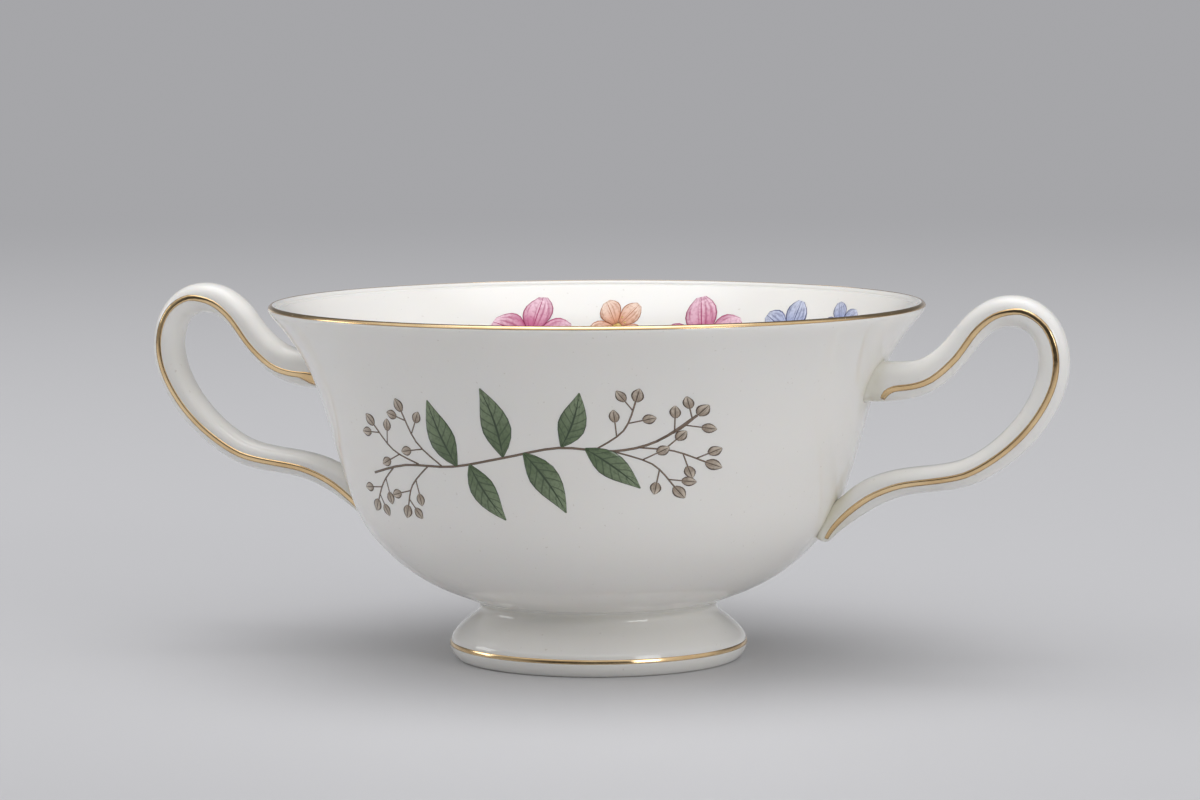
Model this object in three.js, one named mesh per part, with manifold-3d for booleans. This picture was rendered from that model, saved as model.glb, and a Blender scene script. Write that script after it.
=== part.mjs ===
// Two-handled porcelain cup on a spreading foot. Millimetres, +Z up,
// origin at the bottom centre of the foot, handles along -X and +X.
import * as THREE from 'three';
import { mergeVertices } from 'three/addons/utils/BufferGeometryUtils.js';
import Module from 'manifold-3d';

const wasm = await Module();
wasm.setup();

// Bowl
const rimRadius = 60;             // outside of the lip
const rimHeight = 65.3;           // top of the bare lip
const lipThickness = 1.8;         // rounded edge of the bowl
const wallThickness = 2.5;        // bowl wall below the lip
const floorThickness = 3.6;       // bowl floor over the foot
const seatHeight = 10.4;          // joint between bowl and foot
const seatRadius = 21.4;          // outside of that joint
const recessDepth = 0.6;          // hollow under the bowl, inside the joint
const floorRounding = 0.2;        // least step from the bowl floor up to its wall

// Foot
const footRadius = 27.4;          // widest part, at the shoulder
const footWall = 2.4;
const footContactRadius = 25.2;   // middle of the flat ring that stands on the table
const footContactWidth = 1.0;
const footLineHeight = 2.95;      // middle of the gold line on the shoulder
const footLineWidth = 0.9;

// Handles
const upperJointHeight = 51.5;    // where the loop leaves the wall
const lowerJointHeight = 22.5;    // where the tail runs out on the wall
const handleReach = 32.2;         // from the line between the joints to the middle of the loop
const handleDepth = 5.3;          // thickness in the plane of the loop
const handleWidth = 6.6;          // thickness across that plane
const handleLineWidth = 1.2;      // gold line on each side face
const jointClearance = 0.3;       // handle to bowl wall

// Gilding
const gildThickness = 0.1;
const lineSeat = 0.05;            // play between a handle and its gold lines

const latheSegments = 56;
const lipSteps = 6;               // round the lip's edge, the gilding up to the half of them
const sectionCorners = 16;
const handleSteps = 48;
const sectionSquareness = 0.8;    // 1 is an ellipse, less is squarer

function vector(x, y) {
  return new THREE.Vector2(x, y);
}

function between(start, end, shares) {
  return shares.map(([across, along]) => vector(
    THREE.MathUtils.lerp(start.x, end.x, across), THREE.MathUtils.lerp(start.y, end.y, along)));
}

// Outer wall from the seat to the lip: [share of the radius, share of the height]
const lipRadius = lipThickness / 2;
const lipCentre = vector(rimRadius - lipRadius, rimHeight - lipRadius);
const seatEdge = vector(seatRadius, seatHeight);
const lipSide = vector(rimRadius, rimHeight - lipRadius);
const wallCurve = new THREE.SplineCurve(between(seatEdge, lipSide, [
  [0, 0], [0.114, 0.03], [0.231, 0.065], [0.347, 0.115], [0.456, 0.182], [0.544, 0.256],
  [0.606, 0.344], [0.655, 0.456], [0.702, 0.567], [0.744, 0.678], [0.793, 0.77],
  [0.847, 0.848], [0.917, 0.922], [0.985, 0.98], [1, 1],
]));

function wallRadiusAt(height) {
  const points = wallCurve.getPoints(400);
  const above = Math.max(points.findIndex((point) => point.y >= height), 1);
  const low = points[above - 1];
  const high = points[above];
  return THREE.MathUtils.mapLinear(height, low.y, high.y, low.x, high.x);
}

function arcPoints(centre, radius, fromDegrees, toDegrees, steps) {
  return Array.from({ length: steps + 1 }, (_, i) => {
    const angle = THREE.MathUtils.degToRad(THREE.MathUtils.lerp(fromDegrees, toDegrees, i / steps));
    return vector(centre.x + radius * Math.cos(angle), centre.y + radius * Math.sin(angle));
  });
}

// Points of the wall curve moved along its normal; a positive distance goes into the bowl
function offsetWall(distance, fromShare, toShare, steps) {
  return Array.from({ length: steps + 1 }, (_, i) => {
    const share = THREE.MathUtils.lerp(fromShare, toShare, i / steps);
    const point = wallCurve.getPoint(share);
    const tangent = wallCurve.getTangent(share);
    return vector(point.x - distance * tangent.y, point.y + distance * tangent.x);
  });
}

// A profile of [radius, height] points turned about the cup's axis
function turned(profile) {
  const geometry = new THREE.LatheGeometry(profile, latheSegments);
  geometry.rotateX(Math.PI / 2);
  geometry.deleteAttribute('uv');
  geometry.deleteAttribute('normal');
  return mergeVertices(geometry, 1e-4);
}

function toManifold(geometry) {
  return new wasm.Manifold(new wasm.Mesh({
    numProp: 3,
    vertProperties: Float32Array.from(geometry.attributes.position.array),
    triVerts: Uint32Array.from(geometry.index.array),
  }));
}

function fromManifold(solid) {
  const mesh = solid.getMesh();
  const geometry = new THREE.BufferGeometry();
  geometry.setAttribute('position', new THREE.BufferAttribute(mesh.vertProperties, 3));
  geometry.setIndex(new THREE.BufferAttribute(mesh.triVerts, 1));
  return geometry;
}

// The bowl: recess and seat below, outer wall, rounded lip, inner wall, floor
const lipArc = arcPoints(lipCentre, lipRadius, 0, 180, lipSteps);
function bowlGeometry() {
  const floorHeight = seatHeight + floorThickness;
  const floorRadius = seatRadius - wallThickness;
  const seatInside = seatRadius - footWall;
  const outer = offsetWall(0, 0, 1, 22).slice(0, -1);
  const inner = offsetWall(wallThickness, 0.965, 0.1, 20)
    .filter((point) => point.y > floorHeight + floorRounding && point.x > floorRadius);
  return turned([
    vector(0, seatHeight + recessDepth), vector(seatInside - recessDepth, seatHeight + recessDepth),
    vector(seatInside, seatHeight), ...outer, ...lipArc, ...inner,
    vector(floorRadius, floorHeight), vector(0, floorHeight),
  ]);
}

// The spreading foot: flare, shoulder and rounded edge outside, a plain hollow inside
const footLineTop = vector(footRadius, footLineHeight + footLineWidth / 2);
const footLineBottom = vector(footRadius, footLineHeight - footLineWidth / 2);
function footGeometry() {
  const contactOutside = vector(footContactRadius + footContactWidth / 2, 0);
  const contactInside = vector(footContactRadius - footContactWidth / 2, 0);
  const hollowTop = vector(seatRadius - footWall, seatHeight);
  const hollowSide = vector(footRadius - footWall, footLineHeight);
  const flare = new THREE.SplineCurve(
    between(seatEdge, footLineTop, [[0, 0], [0.1, 0.19], [0.53, 0.54], [0.87, 0.81], [1, 1]])).getPoints(8);
  const edge = new THREE.SplineCurve(
    between(footLineBottom, contactOutside, [[0, 0], [0.3, 0.56], [1, 1]])).getPoints(4);
  const hollow = new THREE.SplineCurve([
    contactInside, ...between(contactInside, hollowSide, [[0.4, 0.5]]), hollowSide,
    ...between(hollowSide, hollowTop, [[0.4, 0.4], [0.95, 0.8]]), hollowTop,
  ]).getPoints(9);
  return turned([...flare, ...edge, ...hollow, flare[0].clone()].reverse());
}

// A thin closed ring of gold laid over a stretch of a profile
function gildGeometry(stretch) {
  const outer = stretch.map((point, i) => {
    const before = stretch[Math.max(i - 1, 0)];
    const after = stretch[Math.min(i + 1, stretch.length - 1)];
    const along = after.clone().sub(before).normalize();
    return vector(point.x + gildThickness * along.y, point.y - gildThickness * along.x);
  });
  return turned([stretch[0].clone(), ...outer, ...stretch.slice().reverse()]);
}

// The handle's course from the upper joint round the loop to the tail. Each station:
// [out from the line between the joints, down that line, depth, width, gold line's angle
// towards the outside of the loop]; shares of the named sizes, and degrees
const course = [
  [-0.08, -0.005, 1.36, 1.08, -4], [0.07, -0.01, 1.34, 1.06, -8], [0.2, -0.022, 1.26, 1.04, -12],
  [0.31, -0.07, 1.12, 1.04, -17], [0.4, -0.2, 0.98, 1.01, -20], [0.455, -0.35, 0.98, 1, -17],
  [0.55, -0.45, 1.04, 1, -8], [0.7, -0.455, 1.06, 1, 3], [0.85, -0.36, 1.02, 1, 10],
  [0.955, -0.2, 1.02, 1, 13], [1, -0.025, 1.02, 1, 13], [0.99, 0.145, 1, 1, 10],
  [0.94, 0.297, 0.98, 1, 7], [0.85, 0.434, 0.94, 1, 4], [0.72, 0.541, 0.92, 1, 3],
  [0.55, 0.583, 0.88, 0.98, 4], [0.37, 0.612, 0.9, 0.95, 7], [0.212, 0.688, 1, 0.92, 11],
  [0.108, 0.81, 0.86, 0.9, 13], [0.064, 0.905, 0.6, 0.88, 14], [0.05, 0.975, 0.42, 0.84, 16],
];
const upperJoint = vector(wallRadiusAt(upperJointHeight), upperJointHeight);
const lowerJoint = vector(wallRadiusAt(lowerJointHeight), lowerJointHeight);
const centreCurve = new THREE.CatmullRomCurve3(course.map(([out, down]) => new THREE.Vector3(
  THREE.MathUtils.lerp(upperJoint.x, lowerJoint.x, down) + out * handleReach, 0,
  THREE.MathUtils.lerp(upperJoint.y, lowerJoint.y, down))));
const sizeCurve = new THREE.CatmullRomCurve3(course.map(([, , depth, width, angle]) => new THREE.Vector3(
  depth, width, THREE.MathUtils.degToRad(angle))));

// Half depth, half width and the gold line's angle at a share of the course
function sizeAt(share) {
  return sizeCurve.getPoint(share).multiply(new THREE.Vector3(handleDepth / 2, handleWidth / 2, 1));
}

// One corner of the handle's rounded section; angle 0 is the front side face
function sectionCorner(share, angle, lift) {
  const centre = centreCurve.getPoint(share);
  const tangent = centreCurve.getTangent(share);
  const size = sizeAt(share);
  const rounded = (value) => Math.sign(value) * Math.abs(value) ** sectionSquareness;
  const across = (size.y + lift) * rounded(Math.cos(angle));
  const outward = (size.x + lift) * rounded(Math.sin(angle));
  return new THREE.Vector3(centre.x - outward * tangent.z, -across, centre.z + outward * tangent.x);
}

// Joins rings of equal count into a closed solid with a flat cap at each end
function loft(rings) {
  const count = rings[0].length;
  const last = (rings.length - 1) * count;
  const indices = [];
  for (let low = 0; low < last; low += count) {
    for (let i = 0; i < count; i += 1) {
      const next = (i + 1) % count;
      const high = low + count;
      indices.push(low + i, high + i, low + next, low + next, high + i, high + next);
    }
  }
  for (let i = 0; i < count / 2 - 1; i += 1) {
    const facing = count - 1 - i;
    indices.push(i, i + 1, facing, i + 1, facing - 1, facing);
    indices.push(last + i, last + facing, last + i + 1, last + i + 1, last + facing, last + facing - 1);
  }
  const geometry = new THREE.BufferGeometry();
  geometry.setAttribute('position', new THREE.Float32BufferAttribute(
    rings.flat().flatMap((corner) => corner.toArray()), 3));
  geometry.setIndex(indices);
  return geometry;
}

function handleRings(ringAt) {
  return Array.from({ length: handleSteps + 1 }, (_, step) => ringAt(step / handleSteps));
}

function handleSolid() {
  return toManifold(loft(handleRings((share) =>
    Array.from({ length: sectionCorners }, (_, i) =>
      sectionCorner(share, ((i + 0.5) * 2 * Math.PI) / sectionCorners, 0)))));
}

// A gold line along the front or the back side face, following the rounding of the section
function lineSolid(back) {
  return toManifold(loft(handleRings((share) => {
    const size = sizeAt(share);
    const middle = back ? Math.PI - size.z : size.z;
    const half = Math.min((handleLineWidth / 2 / size.x) ** (1 / sectionSquareness), 0.5);
    const angles = [-1, -1 / 3, 1 / 3, 1].map((angleShare) => middle + angleShare * half);
    return [
      ...angles.map((angle) => sectionCorner(share, angle, lineSeat + gildThickness)),
      ...angles.map((angle) => sectionCorner(share, angle, lineSeat)).reverse(),
    ];
  })));
}

// What a handle and its lines stay clear of: the full form of the bowl, grown by the clearance
const grownBowl = toManifold(turned([
  vector(0, seatHeight - wallThickness), ...offsetWall(-jointClearance, 0, 1, 48), vector(0, rimHeight)]));

const porcelain = new THREE.MeshStandardMaterial({ color: 0xf1ede2, roughness: 0.18, metalness: 0 });
const gilding = new THREE.MeshStandardMaterial({ color: 0xb98a3a, roughness: 0.28, metalness: 1 });

const cup = new THREE.Group();
function addPiece(name, geometry, material, turn = 0) {
  const mesh = new THREE.Mesh(geometry, material);
  mesh.name = name;
  mesh.rotation.z = turn;
  cup.add(mesh);
}

addPiece('bowl', bowlGeometry(), porcelain);
addPiece('foot', footGeometry(), porcelain);
addPiece('rim_gilding', gildGeometry(lipArc.slice(1, lipSteps / 2 + 1)), gilding);
addPiece('foot_gilding', gildGeometry([footLineBottom, footLineTop]), gilding);

// The second handle is the first turned half round, so its lines change sides
const handle = fromManifold(handleSolid().subtract(grownBowl));
const frontLine = fromManifold(lineSolid(false).subtract(grownBowl));
const backLine = fromManifold(lineSolid(true).subtract(grownBowl));
addPiece('right_handle', handle, porcelain);
addPiece('right_handle_front_line', frontLine, gilding);
addPiece('right_handle_back_line', backLine, gilding);
addPiece('left_handle', handle, porcelain, Math.PI);
addPiece('left_handle_front_line', backLine, gilding, Math.PI);
addPiece('left_handle_back_line', frontLine, gilding, Math.PI);

export default cup;
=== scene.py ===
# Two-handled porcelain cup: modelled surfaces, finishes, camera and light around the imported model
import math
import bpy
from mathutils import Matrix, Vector


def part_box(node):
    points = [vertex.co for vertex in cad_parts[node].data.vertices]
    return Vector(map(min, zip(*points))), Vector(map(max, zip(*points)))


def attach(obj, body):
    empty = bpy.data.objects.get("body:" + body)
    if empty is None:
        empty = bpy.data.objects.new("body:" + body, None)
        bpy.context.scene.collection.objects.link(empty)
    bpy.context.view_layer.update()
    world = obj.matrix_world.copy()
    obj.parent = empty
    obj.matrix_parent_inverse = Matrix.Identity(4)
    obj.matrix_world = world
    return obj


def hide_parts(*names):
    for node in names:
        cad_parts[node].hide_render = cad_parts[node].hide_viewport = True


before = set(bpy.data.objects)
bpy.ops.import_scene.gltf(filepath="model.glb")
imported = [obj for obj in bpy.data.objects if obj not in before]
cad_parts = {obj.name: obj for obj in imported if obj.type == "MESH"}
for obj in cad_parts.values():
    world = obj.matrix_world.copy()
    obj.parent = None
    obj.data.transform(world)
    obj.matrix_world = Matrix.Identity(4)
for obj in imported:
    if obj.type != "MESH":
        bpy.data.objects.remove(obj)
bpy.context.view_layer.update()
mm = 0.001
print("stage: frame loaded")


# Selecting, editing and finishing
def selectOnly(*pieces):
    bpy.ops.object.select_all(action="DESELECT")
    for piece in pieces:
        piece.select_set(True)
    bpy.context.view_layer.objects.active = pieces[0]


def nameAs(piece, name):
    piece.name = name
    piece.data.name = name
    return piece


def stopEditing():
    bpy.ops.object.mode_set(mode="OBJECT")


def startEditing(piece, name):
    selectOnly(nameAs(piece, name))
    bpy.ops.object.mode_set(mode="EDIT")
    bpy.ops.mesh.select_mode(type="VERT")


def startPlane(name, size):
    bpy.ops.object.select_all(action="DESELECT")
    bpy.ops.mesh.primitive_plane_add(size=size, location=(0, 0, 0))
    piece = bpy.context.active_object
    startEditing(piece, name)
    return piece


def editAll(piece):
    selectOnly(piece)
    bpy.ops.object.mode_set(mode="EDIT")
    bpy.ops.mesh.select_all(action="SELECT")


def selectWhere(piece, test):
    bpy.ops.mesh.select_all(action="DESELECT")
    stopEditing()
    for vertex in piece.data.vertices:
        vertex.select = test(vertex.co)
    bpy.ops.object.mode_set(mode="EDIT")


def tidyMesh():
    bpy.ops.mesh.select_all(action="SELECT")
    bpy.ops.mesh.remove_doubles(threshold=0.002 * mm)
    bpy.ops.mesh.normals_make_consistent(inside=False)
    stopEditing()
    bpy.ops.object.shade_smooth()


def applyModifier(piece, kind, **values):
    modifier = piece.modifiers.new(kind.lower(), kind)
    for key, value in values.items():
        setattr(modifier, key, value)
    selectOnly(piece)
    bpy.ops.object.modifier_apply(modifier=modifier.name)


def freshUv(piece, name):
    while piece.data.uv_layers:
        piece.data.uv_layers.remove(piece.data.uv_layers[0])
    return piece.data.uv_layers.new(name=name)


def copyTurned(piece, name):
    selectOnly(piece)
    bpy.ops.object.duplicate()
    copy = nameAs(bpy.context.active_object, name)
    editAll(copy)
    bpy.ops.transform.rotate(value=math.pi, orient_axis="Z", center_override=(0, 0, 0))
    stopEditing()
    return copy


def joinPieces(pieces, name):
    selectOnly(*pieces)
    bpy.ops.object.join()
    return nameAs(bpy.context.active_object, name)


# Rows of numbers smoothed through their points, with extra rows between them
def smoothRows(rows, steps):
    smoothed = []
    for i in range(len(rows) - 1):
        before = rows[max(i - 1, 0)]
        after = rows[min(i + 2, len(rows) - 1)]
        for step in range(steps):
            t = step / steps
            smoothed.append([
                b + 0.5 * t * (c - a + t * (2 * a - 5 * b + 4 * c - d + t * (3 * (b - c) + d - a)))
                for a, b, c, d in zip(before, rows[i], rows[i + 1], after)
            ])
    smoothed.append(list(rows[-1]))
    return smoothed


def blend(start, end, share):
    return start + (end - start) * share


# A ring drawn up and down the axis: each [radius, height] in mm is one more extruded ring
def turnRings(name, profile, segments):
    bpy.ops.object.select_all(action="DESELECT")
    bpy.ops.mesh.primitive_circle_add(vertices=segments, radius=profile[0][0] * mm, location=(0, 0, 0))
    piece = bpy.context.active_object
    startEditing(piece, name)
    bpy.ops.mesh.select_all(action="SELECT")
    bpy.ops.transform.translate(value=(0, 0, profile[0][1] * mm))
    for (radius, height), (nextRadius, nextHeight) in zip(profile, profile[1:]):
        growth = nextRadius / radius
        rise = (nextHeight - height) * mm
        bpy.ops.mesh.extrude_region_move(TRANSFORM_OT_translate={"value": (0, 0, rise)})
        bpy.ops.transform.resize(value=(growth, growth, 1), center_override=(0, 0, 0))
    return piece


# A pole: the selected ring drawn together on the axis
def closePole():
    bpy.ops.mesh.merge(type="CENTER")


# The selected ring or row drawn along stations in the plane of the handles:
# [x, z, direction in degrees from +X, size in that plane, size across it], in mm
def drawAlong(stations):
    x, z, direction, depth, width = stations[0]
    bpy.ops.transform.resize(value=(depth * mm, width * mm, 1), center_override=(0, 0, 0))
    turn = math.radians(direction - 90)
    bpy.ops.transform.rotate(value=turn, orient_axis="Y", center_override=(0, 0, 0))
    bpy.ops.transform.translate(value=(x * mm, 0, z * mm))
    for last, station in zip(stations, stations[1:]):
        centre = (last[0] * mm, 0, last[1] * mm)
        move = ((station[0] - last[0]) * mm, 0, (station[1] - last[1]) * mm)
        growth = (station[3] / last[3], station[4] / last[4], 1)
        unturn = math.radians(90 - last[2])
        turn = math.radians(station[2] - 90)
        bpy.ops.mesh.extrude_region_move(TRANSFORM_OT_translate={"value": (0, 0, 0)})
        bpy.ops.transform.rotate(value=unturn, orient_axis="Y", center_override=centre)
        bpy.ops.transform.resize(value=growth, center_override=centre)
        bpy.ops.transform.rotate(value=turn, orient_axis="Y", center_override=centre)
        bpy.ops.transform.translate(value=move)


# Directions of a path of [x, z, ...] rows, in degrees from +X
def pathDirections(rows):
    directions = []
    for i in range(len(rows)):
        before = rows[max(i - 1, 0)]
        after = rows[min(i + 1, len(rows) - 1)]
        direction = math.degrees(math.atan2(after[1] - before[1], after[0] - before[0]))
        if directions:
            direction += 360 * round((directions[-1] - direction) / 360)
        directions.append(direction)
    return directions


# Camera, as fitted to the rim and the gold lines of the photograph
cameraSettings = {
    "yaw": 17.2,             # degrees round the cup from the front
    "distance": 739.5 * mm,  # level distance to the cup's axis
    "height": 117.6 * mm,    # above the table
    "sideStep": 0.48 * mm,   # to the right of the axis
    "pitch": 5.44,           # degrees down
    "roll": -0.31,           # degrees
    "lens": 121.6,           # mm on a 36 mm sensor
}


def addCamera():
    yaw = math.radians(cameraSettings["yaw"])
    back = Vector((math.sin(yaw), -math.cos(yaw), 0))
    side = Vector((math.cos(yaw), math.sin(yaw), 0))
    place = back * cameraSettings["distance"] + side * cameraSettings["sideStep"]
    place.z = cameraSettings["height"]
    cameraData = bpy.data.cameras.new("camera")
    cameraData.lens = cameraSettings["lens"]
    cameraData.sensor_width = 36
    cameraData.clip_start = 0.01
    camera = bpy.data.objects.new("camera", cameraData)
    bpy.context.scene.collection.objects.link(camera)
    camera.matrix_world = (
        Matrix.Translation(place)
        @ Matrix.Rotation(yaw, 4, "Z")
        @ Matrix.Rotation(math.radians(90 - cameraSettings["pitch"]), 4, "X")
        @ Matrix.Rotation(math.radians(cameraSettings["roll"]), 4, "Z")
    )
    bpy.context.scene.camera = camera


# Sizes in mm that the pieces share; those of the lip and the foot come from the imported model
bowlLow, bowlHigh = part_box("bowl")
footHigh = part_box("foot")[1]
cup = {
    "rimRadius": bowlHigh.x / mm,
    "rimHeight": bowlHigh.z / mm,
    "seatHeight": bowlLow.z / mm,
    "footRadius": footHigh.x / mm,
    "seatRadius": 21.4,
    "segments": 96,
}

# Bowl, from the seat on the foot to the lip
bowl = {
    "lipThickness": 1.8,
    "wallThickness": 2.5,
    "floorThickness": 3.6,
    "recess": 0.6,           # hollow underneath, inside the foot
    "seatWidth": 2.4,        # level ring that the foot is luted to
    "thinning": 8,           # below the lip the wall thickens over this height
    "lipEnd": 1.9,           # the inside of the wall starts this far below the top
    "bendStart": 1.2,        # the wall bends into the floor from this height above it
    # shares of the way out and of the way up
    "outline": [
        [0, 0], [0.114, 0.03], [0.231, 0.065], [0.347, 0.115], [0.456, 0.182], [0.544, 0.256],
        [0.606, 0.344], [0.655, 0.456], [0.702, 0.567], [0.744, 0.678], [0.793, 0.77],
        [0.847, 0.848], [0.917, 0.922], [0.985, 0.98], [1, 1],
    ],
    "floorFlat": 9.0,        # radius of the level middle of the floor
    "poleRadius": 1.2,       # last ring before the middle
}


def outerWall():
    lipSide = cup["rimHeight"] - bowl["lipThickness"] / 2
    rows = [
        [blend(cup["seatRadius"], cup["rimRadius"], out), blend(cup["seatHeight"], lipSide, up)]
        for out, up in bowl["outline"]
    ]
    return smoothRows(rows, 3)


def wallRadiusAt(height):
    rows = outerWall()
    for low, high in zip(rows, rows[1:]):
        if low[1] <= height <= high[1]:
            return blend(low[0], high[0], (height - low[1]) / (high[1] - low[1]))
    return rows[-1][0]


def innerWall():
    floorHeight = cup["seatHeight"] + bowl["floorThickness"]
    inner = []
    rows = outerWall()
    for before, row, after in zip(rows, rows[1:], rows[2:]):
        along = Vector((after[0] - before[0], after[1] - before[1])).normalized()
        below = min(max((cup["rimHeight"] - row[1]) / bowl["thinning"], 0), 1)
        thickness = blend(bowl["lipThickness"], bowl["wallThickness"], below)
        point = [row[0] - thickness * along.y, row[1] + thickness * along.x]
        if point[1] > floorHeight + bowl["bendStart"] and row[1] < cup["rimHeight"] - bowl["lipEnd"]:
            inner.append(point)
    inner.reverse()
    edge = inner[-1]
    bend = [
        [blend(edge[0], bowl["floorFlat"], inward), blend(edge[1], floorHeight, down)]
        for inward, down in ((0, 0), (0.22, 0.5), (0.5, 0.84), (1, 1))
    ]
    return inner + smoothRows(bend, 2)[1:]


def lipRow(degrees, lift=0):
    radius = bowl["lipThickness"] / 2
    angle = math.radians(degrees)
    return [
        cup["rimRadius"] - radius + (radius + lift) * math.cos(angle),
        cup["rimHeight"] - radius + (radius + lift) * math.sin(angle),
    ]


def buildBowl():
    seatInside = cup["seatRadius"] - bowl["seatWidth"]
    underside = cup["seatHeight"] + bowl["recess"]
    floorHeight = cup["seatHeight"] + bowl["floorThickness"]
    profile = [
        [bowl["poleRadius"], underside], [10, underside], [seatInside - 1.4, underside],
        [seatInside - 0.5, underside - 0.1], [seatInside, cup["seatHeight"]],
        [seatInside + 0.3, cup["seatHeight"]], [cup["seatRadius"] - 0.2, cup["seatHeight"]],
    ]
    profile += outerWall()[:-1]
    profile += [lipRow(degrees) for degrees in range(0, 181, 20)]
    profile += innerWall()
    profile += [[5, floorHeight], [bowl["poleRadius"], floorHeight]]
    piece = turnRings("bowlShell", profile, 2 * cup["segments"])
    closePole()
    selectWhere(piece, lambda place: place.z < (underside + 0.01) * mm and place.xy.length < 2 * mm)
    closePole()
    tidyMesh()
    applyModifier(piece, "SUBSURF", levels=1, render_levels=1)
    return piece


# Foot: flare, shoulder, rounded edge, bare standing ring and hollow
foot = {
    "wall": 2.4,
    "contactRadius": 25.2,   # middle of the standing ring
    "contactWidth": 1.0,
    "shoulderTop": 3.4,
    "shoulderBottom": 2.5,
    "shoulderLean": 0.24,    # how far the shoulder leans in between them
    # from the bowl's seat down: out from the neck, up from the seat
    "flare": [
        [2.6, 0.9], [1.0, 0.15], [0.42, -0.35], [0.38, -0.95], [0.7, -1.65],
        [1.5, -2.45], [2.8, -3.45], [4.5, -4.95], [5.5, -6.2],
    ],
}


def shoulderRadiusAt(height):
    up = (height - foot["shoulderBottom"]) / (foot["shoulderTop"] - foot["shoulderBottom"])
    return cup["footRadius"] - foot["shoulderLean"] * up


def buildFoot():
    seat = cup["seatHeight"]
    neck = cup["seatRadius"]
    shoulder = cup["footRadius"]
    inside = foot["contactRadius"] - foot["contactWidth"] / 2
    outside = foot["contactRadius"] + foot["contactWidth"] / 2
    flare = [[neck + out, seat + up] for out, up in foot["flare"]]
    flare = smoothRows(flare + [[shoulderRadiusAt(foot["shoulderTop"]), foot["shoulderTop"]]], 3)
    edge = smoothRows([
        [shoulder, foot["shoulderBottom"]], [shoulder - 0.25, 1.55], [shoulder - 0.85, 0.6],
        [outside + 0.35, 0.12], [outside, 0],
    ], 2)
    hollow = smoothRows([
        [inside, 0], [inside - 0.15, 0.2], [inside + 0.05, 1.4], [shoulder - foot["wall"], 2.95],
        [shoulder - 4.6, 5.9], [neck - 2.0, 8.7],
        [neck - foot["wall"], seat - 0.6], [neck - foot["wall"], seat + 0.1],
    ], 2)
    top = [[neck - 1.2, seat + 0.35], [neck + 1.2, seat + 0.75]]
    profile = flare + edge + hollow + top + [flare[0]]
    piece = turnRings("spreadingFoot", profile, cup["segments"])
    tidyMesh()
    applyModifier(piece, "SUBSURF", levels=2, render_levels=2)
    return piece


# Thin gold bands round the lip and the foot's shoulder
bands = {
    "rimFrom": 18,           # degrees round the lip's edge, from its outside to its top
    "rimTo": 80,
    "thickness": 0.05,
    "seatDepth": 0.06,       # how far the band's underside lies in the glaze
    "edgeTurn": 2,           # degrees in which the rim band's edge meets the glaze
    "edgeDepth": 0.04,       # and how far the edge of the foot's band lies in it
    "footRows": [0.14, 0.38, 0.62, 0.86],
}


def buildBand(name, outer, inner, acrossAt):
    piece = turnRings(name, outer + inner + [outer[0]], cup["segments"] * 2)
    tidyMesh()
    applyModifier(piece, "SUBSURF", levels=1, render_levels=1)
    layer = freshUv(piece, "band")
    for loop in piece.data.loops:
        place = piece.data.vertices[loop.vertex_index].co
        layer.data[loop.index].uv = (acrossAt(place), math.atan2(place.y, place.x) / math.tau + 0.5)
    return piece


def buildRimBand():
    angles = [blend(bands["rimFrom"], bands["rimTo"], i / 10) for i in range(11)]
    outer = [lipRow(bands["rimFrom"] - bands["edgeTurn"])]
    outer += [lipRow(a, bands["thickness"]) for a in angles]
    outer += [lipRow(bands["rimTo"] + bands["edgeTurn"])]
    inner = [lipRow(a, -bands["seatDepth"]) for a in reversed(angles)]
    middle = lipRow(90, -bowl["lipThickness"] / 2)

    def acrossAt(place):
        angle = math.degrees(math.atan2(place.z / mm - middle[1], place.xy.length / mm - middle[0]))
        return (angle - bands["rimFrom"]) / (bands["rimTo"] - bands["rimFrom"])

    return buildBand("rimGold", outer, inner, acrossAt)


def buildFootBand():
    low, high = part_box("foot_gilding")
    bottom, top = low.z / mm, high.z / mm
    heights = [blend(bottom, top, share) for share in bands["footRows"]]
    sunk = 3 * bands["seatDepth"]
    outer = [[shoulderRadiusAt(bottom) - bands["edgeDepth"], bottom]]
    outer += [[shoulderRadiusAt(height) + bands["thickness"], height] for height in heights]
    outer += [[shoulderRadiusAt(top) - bands["edgeDepth"], top]]
    inner = [[shoulderRadiusAt(height) - sunk, height] for height in (top - 0.1, bottom + 0.1)]
    return buildBand("footGold", outer, inner, lambda place: (place.z - low.z) / (high.z - low.z))


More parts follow.
